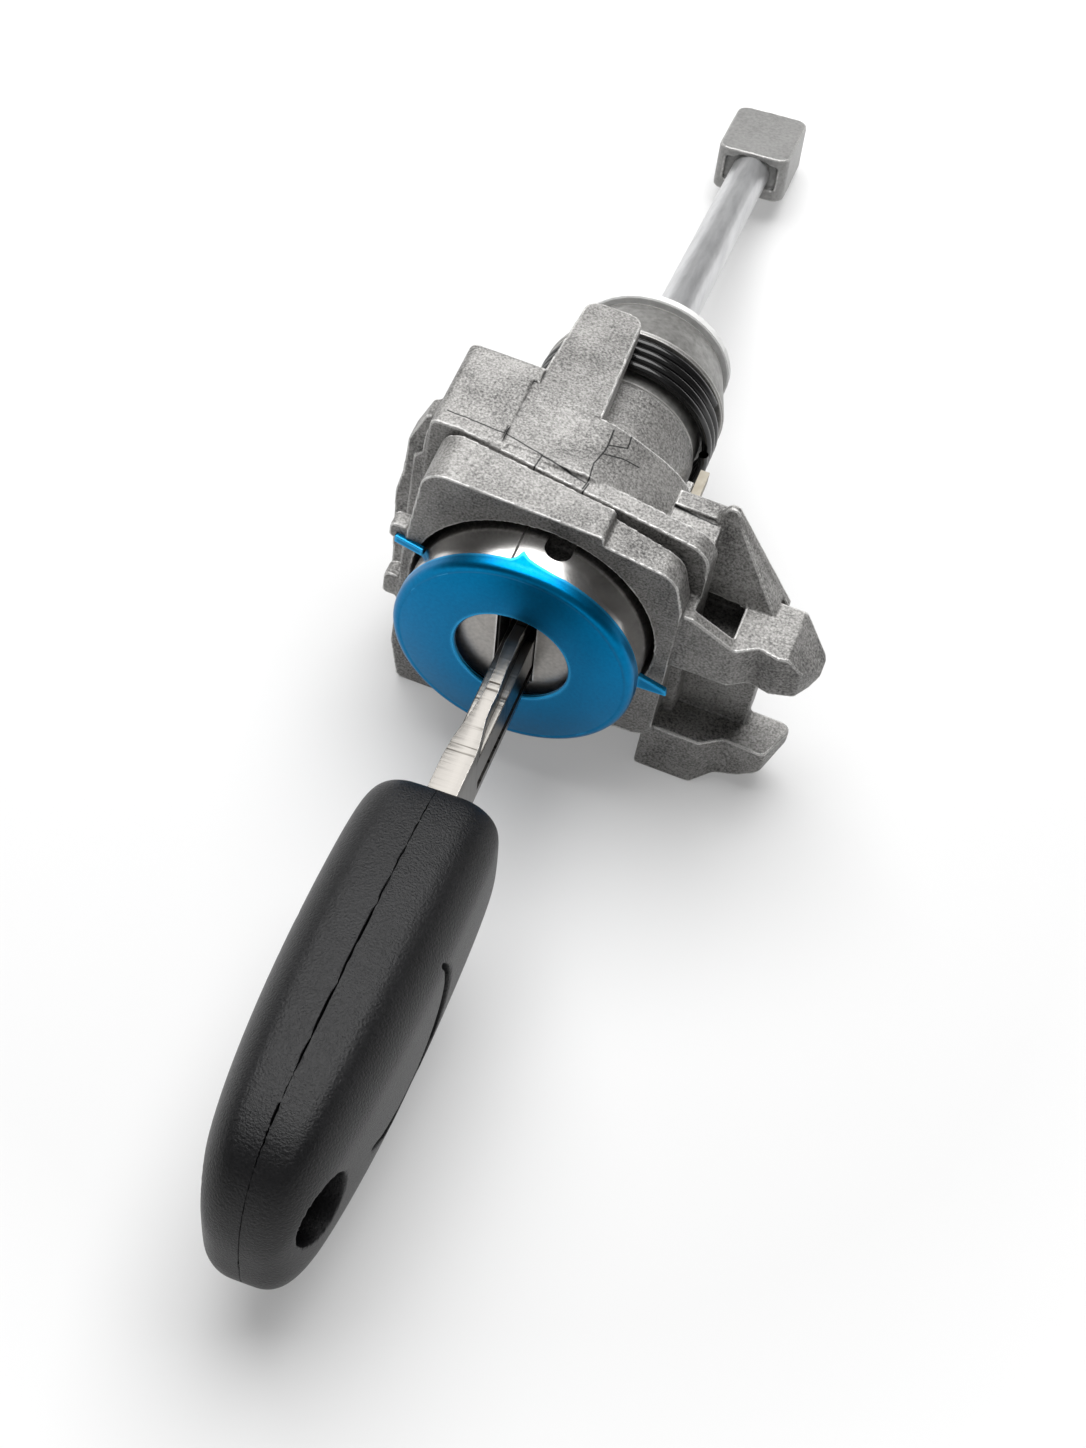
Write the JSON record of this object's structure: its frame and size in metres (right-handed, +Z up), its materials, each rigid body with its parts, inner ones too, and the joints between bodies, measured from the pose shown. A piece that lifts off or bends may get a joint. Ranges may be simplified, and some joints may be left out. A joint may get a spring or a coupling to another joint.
{
  "type": "car door lock",
  "caption": "Car door lock: cast body with hooked side clip, blue ring face, plastic-bow key in the turning plug, sprung drum and hinged tail rod.",
  "frame": {"origin": "centre of the blue cap's front face, on the lock's axis", "axes": "+Y along the lock's axis from the key side to the tail, +Z up as the lock rests, +X towards the side clip with the two hooks"},
  "size_m": [0.0453, 0.1633, 0.0328],
  "materials": {
    "zinc": "as-cast zinc, fine grain, matt",
    "blue_cap": "metallic blue",
    "polished_steel": "polished",
    "satin_steel": "satin",
    "nickel": "bright nickel with milling marks",
    "black_plastic": "fine grain",
    "chip": "moulded",
    "pin_steel": "ground",
    "white_nylon": "smooth",
    "cream_nylon": "smooth",
    "spring_steel": "black oxide",
    "rod_steel": "drawn bar",
    "brass": "stamped"
  },
  "bodies": {
    "lock": {"housing": "zinc", "face_cap": "blue_cap", "face_sleeve": "polished_steel", "lock_barrel": "zinc", "return_spring": "spring_steel", "spring_stop": "cream_nylon"},
    "core": {"plug": "zinc", "plug_face": "satin_steel", "driver": "zinc", "driver_pin": "pin_steel", "rod_pin": "pin_steel", "rear_washer": "white_nylon", "wafer_spring_1": "spring_steel", "wafer_spring_2": "spring_steel", "wafer_spring_3": "spring_steel", "wafer_spring_4": "spring_steel", "wafer_spring_5": "spring_steel", "wafer_spring_6": "spring_steel", "wafer_spring_7": "spring_steel", "wafer_spring_8": "spring_steel"},
    "key": {"key_blade": "nickel", "key_bow_left": "black_plastic", "key_bow_right": "black_plastic", "key_chip": "chip", "blade_pin": "pin_steel"},
    "tail": {"tail_rod": "rod_steel", "tail_block": "zinc"},
    "wafer_1": {"wafer_1": "brass"},
    "wafer_2": {"wafer_2": "brass"},
    "wafer_3": {"wafer_3": "brass"},
    "wafer_4": {"wafer_4": "brass"},
    "wafer_5": {"wafer_5": "brass"},
    "wafer_6": {"wafer_6": "brass"},
    "wafer_7": {"wafer_7": "brass"},
    "wafer_8": {"wafer_8": "brass"}
  },
  "joints": [
    {"name": "plug_turn", "type": "hinge", "parent": "lock", "child": "core", "pos_m": [0, 0, 0], "axis": [0, 1, 0], "range_deg": [-75, 75], "stiffness_Nm_per_rad": 0.08},
    {"name": "key_slide", "type": "slide", "parent": "core", "child": "key", "axis": [0, -1, 0], "range_m": [0, 0.03]},
    {"name": "rod_swing", "type": "hinge", "parent": "core", "child": "tail", "pos_m": [0, 0.0395, 0], "axis": [0.9999, 0.014, 0], "range_deg": [0, 28]},
    {"name": "wafer_1_lift", "type": "slide", "parent": "core", "child": "wafer_1", "axis": [-0.061, 0, 0.9981], "range_m": [0, 0.00045], "stiffness_N_per_m": 120, "springref_m": -0.001, "deforming": ["wafer_spring_1"]},
    {"name": "wafer_2_lift", "type": "slide", "parent": "core", "child": "wafer_2", "axis": [-0.061, 0, 0.9981], "range_m": [0, 0.00045], "stiffness_N_per_m": 120, "springref_m": -0.001, "deforming": ["wafer_spring_2"]},
    {"name": "wafer_3_lift", "type": "slide", "parent": "core", "child": "wafer_3", "axis": [-0.061, 0, 0.9981], "range_m": [0, 0.00045], "stiffness_N_per_m": 120, "springref_m": -0.001, "deforming": ["wafer_spring_3"]},
    {"name": "wafer_4_lift", "type": "slide", "parent": "core", "child": "wafer_4", "axis": [-0.061, 0, 0.9981], "range_m": [0, 0.00045], "stiffness_N_per_m": 120, "springref_m": -0.001, "deforming": ["wafer_spring_4"]},
    {"name": "wafer_5_lift", "type": "slide", "parent": "core", "child": "wafer_5", "axis": [-0.061, 0, 0.9981], "range_m": [0, 0.00045], "stiffness_N_per_m": 120, "springref_m": -0.001, "deforming": ["wafer_spring_5"]},
    {"name": "wafer_6_lift", "type": "slide", "parent": "core", "child": "wafer_6", "axis": [-0.061, 0, 0.9981], "range_m": [0, 0.00045], "stiffness_N_per_m": 120, "springref_m": -0.001, "deforming": ["wafer_spring_6"]},
    {"name": "wafer_7_lift", "type": "slide", "parent": "core", "child": "wafer_7", "axis": [-0.061, 0, 0.9981], "range_m": [0, 0.00045], "stiffness_N_per_m": 120, "springref_m": -0.001, "deforming": ["wafer_spring_7"]},
    {"name": "wafer_8_lift", "type": "slide", "parent": "core", "child": "wafer_8", "axis": [-0.061, 0, 0.9981], "range_m": [0, 0.00045], "stiffness_N_per_m": 120, "springref_m": -0.001, "deforming": ["wafer_spring_8"]}
  ]
}
